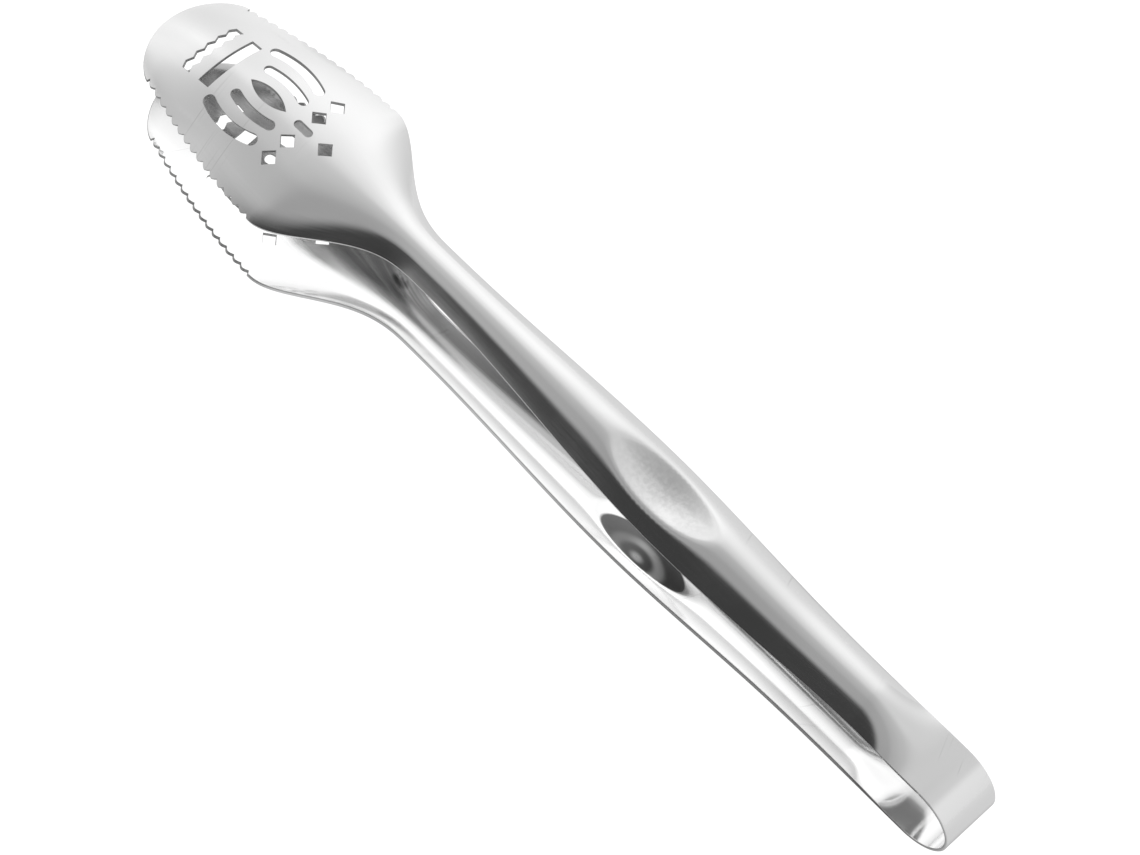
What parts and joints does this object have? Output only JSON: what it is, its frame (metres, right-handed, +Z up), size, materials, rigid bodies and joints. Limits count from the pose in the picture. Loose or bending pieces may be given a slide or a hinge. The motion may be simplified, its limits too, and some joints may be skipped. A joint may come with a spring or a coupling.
{
  "type": "kitchen tongs",
  "caption": "Springy steel serving tongs with a bent bow, channel handles with thumb dimples, and slotted scoop heads with toothed edges.",
  "frame": {"origin": "middle of the length and of the width, at the lowest point of the lower arm, where the tongs lie on a table", "axes": "+X from the bow towards the tips of the heads, +Y across the strip, to the left seen from the bow, +Z up from the lower arm to the upper arm"},
  "size_m": [0.3012, 0.052, 0.0457],
  "materials": {
    "steel": "bright pressed stainless steel sheet, satin inside the thumb dimples"
  },
  "bodies": {
    "lower_arm": {"lower_leaf": "steel", "lower_handle": "steel", "lower_head": "steel"},
    "bow": {"bow": "steel"},
    "upper_arm": {"upper_leaf": "steel", "upper_handle": "steel", "upper_head": "steel"}
  },
  "joints": [
    {"name": "bow_flex", "type": "hinge", "parent": "lower_arm", "child": "bow", "pos_m": [-0.13702, 0, 0.00561], "axis": [0, 1, 0], "range_deg": [-1.5, 2.6], "stiffness_Nm_per_rad": 12, "springref_deg": -0.5},
    {"name": "arm_close", "type": "hinge", "parent": "bow", "child": "upper_arm", "pos_m": [-0.13757, 0, 0.0292], "axis": [0, 1, 0], "range_deg": [-1.5, 2.6], "stiffness_Nm_per_rad": 12, "springref_deg": -0.5}
  ],
  "couplings": [
    {"joint": "bow_flex", "follows": "arm_close", "ratio": 1}
  ]
}
